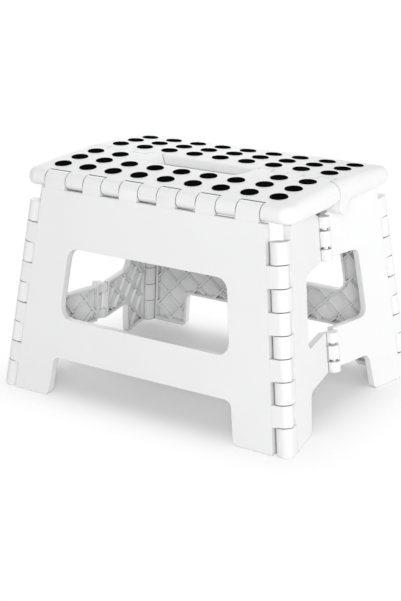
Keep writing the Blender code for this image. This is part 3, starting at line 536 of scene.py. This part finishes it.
def makeGrips(name, side, hasScoop, body):
    # one piece of grips for a half of the top; side is -1 at the front
    spots = []
    leans = []
    for row in range(grips["rows"]):
        y = side * (grips["firstRow"] + row * grips["rowPitch"])
        z = grips["height"] - grips["crownRadius"] + math.sqrt(grips["crownRadius"] ** 2 - y * y)
        for column in range(grips["columns"]):
            x = (column - (grips["columns"] - 1) / 2) * grips["pitch"]
            if hasScoop and row == 0 and abs(x) < grips["scoopReach"]:
                continue
            spots.append((x, y, z))
            leans.append(-math.asin(y / grips["crownRadius"]))
    piece = layOut(name, gripTree, spots, {"tilt": leans}, {
        "Radius": grips["radius"], "Rise": grips["rise"], "Sink": grips["sink"],
        "Sides": grips["sides"], "Finish": gripRubber,
    })
    piece.data.shade_smooth()
    piece.data.set_sharp_from_angle(angle=grips["sharp"])
    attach(piece, body)
    print(name, len(spots), "grips", len(piece.data.polygons), "faces")


makeGrips("gripsFront", -1, True, "top_front")
makeGrips("gripsRear", 1, False, "top_rear")


# fine ribs between the main ribs inside the panels

ribs = {
    "pitch": 40 * mm, "width": 1.9 * mm, "plate": 2.6 * mm, "rim": 2.6 * mm,
    "lower": 0.5 * mm, "sink": 0.4 * mm,
    # lines to each side of the middle, how far they are walked, and the shortest rib laid on one
    "lines": 14, "panelReach": 320 * mm, "endReach": 280 * mm, "sample": 0.4 * mm, "shortest": 5 * mm,
    # a probe starts this far above a rib's top, ends this far under the plate, and meets it within the level
    "probe": 3 * mm, "under": 0.5 * mm, "level": 0.2 * mm,
}
# sizes of the solids that the ribs lie in
stool = {
    "hinge": 8 * mm, "swingClear": 0.6 * mm, "panelDepth": 7.6 * mm,
    "creaseFoot": (145 * mm, 0, 0), "creaseOut": 3.5 * mm, "creaseRadius": 6 * mm, "endDepth": 6.4 * mm,
    "endTopGap": 2.28 * mm, "endUpperBar": 53.5 * mm, "endLowerBar": 39 * mm, "endArch": 37 * mm,
}
plateLevel = ribs["plate"] - stool["hinge"]
# hinge lines of the front panel, at its top edge and its right corner
joints = {joint["name"]: joint for joint in frame["joints"]}
edgeAxis = Vector(joints["front_panel_swing"]["pos_m"])
cornerFoot = Vector(joints["right_front_fold"]["pos_m"])
cornerUp = Vector(joints["right_front_fold"]["axis"]).normalized()


def makeRibTree():
    tree, given = startTree("ribTree", "Width", "Height")
    # a bar one metre long, which each point shortens to its own length
    section = addNode(tree, "ShaderNodeCombineXYZ")
    section.inputs["X"].default_value = 1.0
    wire(tree, given.outputs["Width"], section.inputs["Y"])
    wire(tree, given.outputs["Height"], section.inputs["Z"])
    bar = addNode(tree, "GeometryNodeMeshCube")
    wire(tree, section.outputs["Vector"], bar.inputs["Size"])
    stretch = addNode(tree, "ShaderNodeCombineXYZ")
    stretch.inputs["Y"].default_value = 1.0
    stretch.inputs["Z"].default_value = 1.0
    wire(tree, pointValue(tree, "length"), stretch.inputs["X"])
    spread = spreadCopies(tree, given, bar.outputs["Mesh"], "turn", "Z")
    wire(tree, stretch.outputs["Vector"], spread.inputs["Scale"])
    return tree


ribTree = makeRibTree()


def solidOf(nodeName):
    node = frame["nodes"][nodeName]
    corners = [node.matrix_world @ vertex.co for vertex in node.data.vertices]
    return BVHTree.FromPolygons(corners, [tuple(face.vertices) for face in node.data.polygons])


def axesMatrix(origin, alongDir, upDir, openDir):
    # columns: along the panel, up the panel, out of its open side
    turned = Matrix((alongDir, upDir, openDir)).transposed().to_4x4()
    return Matrix.Translation(origin) @ turned


def openRuns(solid, place, start, direction, extent, height):
    # the line is walked in short steps, and gives the stretches where the plate lies open
    inDir = -(place.to_3x3() @ Vector((0, 0, 1)))
    depth = height + ribs["probe"]
    probe = plateLevel + depth
    reach = int(extent / ribs["sample"])
    runs = [[]]
    for k in range(-reach, reach + 1):
        spot = start + direction * (k * ribs["sample"])
        source = place @ Vector((spot.x, spot.y, probe))
        _, _, _, distance = solid.ray_cast(source, inDir, depth + ribs["under"])
        if distance is not None and abs(distance - depth) < ribs["level"]:
            runs[-1].append(spot)
        elif runs[-1]:
            runs.append([])
    return [run for run in runs if run and (run[-1] - run[0]).length > ribs["shortest"]]


def makeFineRibs(nodeName, place, middle, low, extent, height):
    # ribs along both diagonals, half way between the main ribs, which cross at the given middle and low
    solid = solidOf(nodeName)
    step = ribs["pitch"] * math.sqrt(2)
    centre = plateLevel + (height - ribs["sink"]) / 2
    spots = []
    lengths = []
    turns = []
    for sign in (1, -1):
        direction = Vector((1, -sign, 0)).normalized()
        for number in range(-ribs["lines"], ribs["lines"] + 1):
            # the line along + sign * up = level, followed from its point nearest to the panel's origin
            level = middle + sign * low + (number + 0.5) * step
            start = Vector((level / 2, sign * level / 2, 0))
            for run in openRuns(solid, place, start, direction, extent, height):
                spot = (run[0] + run[-1]) / 2
                spots.append((spot.x, spot.y, centre))
                lengths.append((run[-1] - run[0]).length + 2 * ribs["sink"])
                turns.append(math.atan2(direction.y, direction.x))
    piece = layOut("fineRibs." + nodeName, ribTree, spots, {"length": lengths, "turn": turns}, {
        "Width": ribs["width"], "Height": height + ribs["sink"], "Finish": whitePlastic,
    })
    piece.data.transform(place)
    if place.determinant() < 0:
        piece.data.flip_normals()
    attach(piece, nodeName)
    print(piece.name, len(spots), "ribs")


halfTurn = Matrix.Rotation(math.pi, 4, "Z")
mirror = Matrix.Scale(-1, 4, Vector((0, 1, 0)))


def panelRibs():
    lean = math.atan2(edgeAxis.y - cornerFoot.y, edgeAxis.z)
    upDir = Vector((0, math.sin(lean), math.cos(lean)))
    inDir = Vector((0, math.cos(lean), -math.sin(lean)))
    place = axesMatrix(edgeAxis, Vector((1, 0, 0)), upDir, inDir)
    low = -edgeAxis.z / math.cos(lean) - stool["hinge"]
    height = stool["panelDepth"] - ribs["plate"] - ribs["lower"]
    for name, move in (("front_panel", Matrix.Identity(4)), ("rear_panel", halfTurn)):
        makeFineRibs(name, move @ place, 0, low, ribs["panelReach"], height)


def endRibs():
    # an end half lies between its corner axis and its crease, which meet in the apex
    apex = cornerFoot - cornerUp * (cornerFoot.y / cornerUp.y)
    creaseFoot = Vector(stool["creaseFoot"])
    creaseUp = (apex - creaseFoot).normalized()
    windowTop = edgeAxis.z - stool["hinge"] - stool["endTopGap"] - stool["endUpperBar"]
    windowBottom = stool["endArch"] + stool["endLowerBar"]
    centre = creaseFoot + creaseUp * ((windowTop + windowBottom) / 2 / creaseUp.z) - cornerFoot
    # the plate is turned about the corner axis until the crease's middle stands far enough out of it
    across = centre - cornerUp * centre.dot(cornerUp)
    lift = (stool["hinge"] + stool["creaseOut"]) / across.length
    side = across.normalized()
    other = side.cross(cornerUp)
    other = other if other.x > 0 else -other
    share = math.sqrt(1 - lift ** 2)
    alongDir = side * share - other * lift
    outDir = other * share + side * lift
    place = axesMatrix(cornerFoot, alongDir, cornerUp, -outDir)
    arch = creaseFoot + creaseUp * (stool["endArch"] / creaseUp.z) - cornerFoot
    nearEdge = stool["hinge"] + stool["swingClear"] + ribs["rim"]
    farEdge = arch.dot(alongDir) - stool["creaseRadius"] - stool["swingClear"] - ribs["rim"]
    middle = (nearEdge + farEdge) / 2
    height = stool["endDepth"] - ribs["plate"] - ribs["lower"]
    moves = {
        "right_end_front": Matrix.Identity(4), "left_end_rear": halfTurn,
        "right_end_rear": mirror, "left_end_front": halfTurn @ mirror,
    }
    for name, move in moves.items():
        makeFineRibs(name, move @ place, middle, -stool["hinge"], ribs["endReach"], height)


panelRibs()
endRibs()


# camera, floor and light

view = {"spot": (0.6713, -1.0456, 0.5004), "turn": 33.06, "dip": 18.65, "lens": 80.15, "sensor": 36}
floorLook = {
    "reach": 8.0, "color": (0.93, 0.93, 0.93, 1), "rough": 0.9, "shine": 0.1,
    # half the size of the shaded patch, the width of its fade, and how white it is in the middle
    "shadeHalf": (0.13, 0.085, 0), "fadeEnd": 0.085, "nearWhite": 0.17,
}
studio = {"white": (1, 1, 1, 1), "skyStrength": 0.48, "seenStrength": 1.0, "aim": (0, 0, 0.1)}
lamps = [
    {"name": "rightLamp", "spot": (2.2, 0.5, 0.6), "size": 1.2, "power": 13.5},
    {"name": "frontLamp", "spot": (1.2, -1.95, 0.85), "size": 0.5, "power": 22},
    {"name": "topLamp", "spot": (-0.2, 0.2, 2.4), "size": 2.2, "power": 12},
    {"name": "rearLamp", "spot": (-1.5, 1.8, 0.7), "size": 1.2, "power": 13},
]


def placeAndAim(holder, spot, ahead):
    holder.location = spot
    holder.rotation_mode = "QUATERNION"
    holder.rotation_quaternion = ahead.to_track_quat("-Z", "Y")


def addCamera():
    camera = bpy.data.cameras.new("camera")
    camera.lens = view["lens"]
    camera.sensor_width = view["sensor"]
    camera.sensor_fit = "AUTO"
    holder = addObject("camera", camera)
    turn = math.radians(view["turn"])
    dip = math.radians(view["dip"])
    ahead = Vector((-math.sin(turn) * math.cos(dip), math.cos(turn) * math.cos(dip), -math.sin(dip)))
    placeAndAim(holder, view["spot"], ahead)
    bpy.context.scene.camera = holder


def seeingRays(tree):
    # rays that should meet white surroundings: from the camera, in gloss and through clear pieces
    ray = addNode(tree, "ShaderNodeLightPath")
    last = ray.outputs["Is Camera Ray"]
    for kind in ("Is Glossy Ray", "Is Transmission Ray"):
        either = addNode(tree, "ShaderNodeMath", operation="MAXIMUM")
        wire(tree, last, either.inputs[0])
        wire(tree, ray.outputs[kind], either.inputs[1])
        last = either.outputs["Value"]
    return last


def floorPaint():
    finish, tree, shader = newFinish("floorPaint")
    shader.inputs["Base Color"].default_value = floorLook["color"]
    shader.inputs["Roughness"].default_value = floorLook["rough"]
    shader.inputs["Specular IOR Level"].default_value = floorLook["shine"]
    # the paper fades to white outside the stool's own outline and its shadow
    glow = addNode(tree, "ShaderNodeEmission")
    glow.inputs["Strength"].default_value = studio["seenStrength"]
    place = addNode(tree, "ShaderNodeTexCoord")
    folded = addNode(tree, "ShaderNodeVectorMath", operation="ABSOLUTE")
    wire(tree, place.outputs["Object"], folded.inputs[0])
    past = addNode(tree, "ShaderNodeVectorMath", operation="SUBTRACT")
    past.inputs[1].default_value = floorLook["shadeHalf"]
    wire(tree, folded.outputs["Vector"], past.inputs[0])
    outside = addNode(tree, "ShaderNodeVectorMath", operation="MAXIMUM")
    wire(tree, past.outputs["Vector"], outside.inputs[0])
    away = addNode(tree, "ShaderNodeVectorMath", operation="LENGTH")
    wire(tree, outside.outputs["Vector"], away.inputs[0])
    fade = addNode(tree, "ShaderNodeMapRange", interpolation_type="SMOOTHSTEP")
    fade.inputs["From Max"].default_value = floorLook["fadeEnd"]
    fade.inputs["To Min"].default_value = floorLook["nearWhite"]
    wire(tree, away.outputs["Value"], fade.inputs["Value"])
    share = addNode(tree, "ShaderNodeMath", operation="MULTIPLY")
    wire(tree, seeingRays(tree), share.inputs[0])
    wire(tree, fade.outputs["Result"], share.inputs[1])
    mix = addNode(tree, "ShaderNodeMixShader")
    wire(tree, share.outputs["Value"], mix.inputs["Fac"])
    wire(tree, shader.outputs["BSDF"], mix.inputs[1])
    wire(tree, glow.outputs["Emission"], mix.inputs[2])
    wire(tree, mix.outputs["Shader"], tree.nodes["Material Output"].inputs["Surface"])
    return finish


def addFloor():
    reach = floorLook["reach"]
    corners = [(-reach, -reach, 0), (reach, -reach, 0), (reach, reach, 0), (-reach, reach, 0)]
    mesh = bpy.data.meshes.new("floor")
    mesh.from_pydata(corners, [], [(0, 1, 2, 3)])
    mesh.materials.append(floorPaint())
    floor = addObject("floor", mesh)


def addSky():
    world = bpy.data.worlds.new("studio")
    bpy.context.scene.world = world
    world.use_nodes = True
    tree = world.node_tree
    sky = tree.nodes["Background"]
    sky.inputs["Color"].default_value = studio["white"]
    sky.inputs["Strength"].default_value = studio["skyStrength"]
    seen = addNode(tree, "ShaderNodeBackground")
    seen.inputs["Color"].default_value = studio["white"]
    seen.inputs["Strength"].default_value = studio["seenStrength"]
    mix = addNode(tree, "ShaderNodeMixShader")
    wire(tree, seeingRays(tree), mix.inputs["Fac"])
    wire(tree, sky.outputs["Background"], mix.inputs[1])
    wire(tree, seen.outputs["Background"], mix.inputs[2])
    wire(tree, mix.outputs["Shader"], tree.nodes["World Output"].inputs["Surface"])


def addLamps():
    for lamp in lamps:
        light = bpy.data.lights.new(lamp["name"], "AREA")
        light.size = lamp["size"]
        light.energy = lamp["power"]
        ahead = Vector(studio["aim"]) - Vector(lamp["spot"])
        placeAndAim(addObject(lamp["name"], light), lamp["spot"], ahead)


addCamera()
addFloor()
addSky()
addLamps()
bpy.context.scene.view_settings.view_transform = "Standard"
print("camera, floor and light ready")
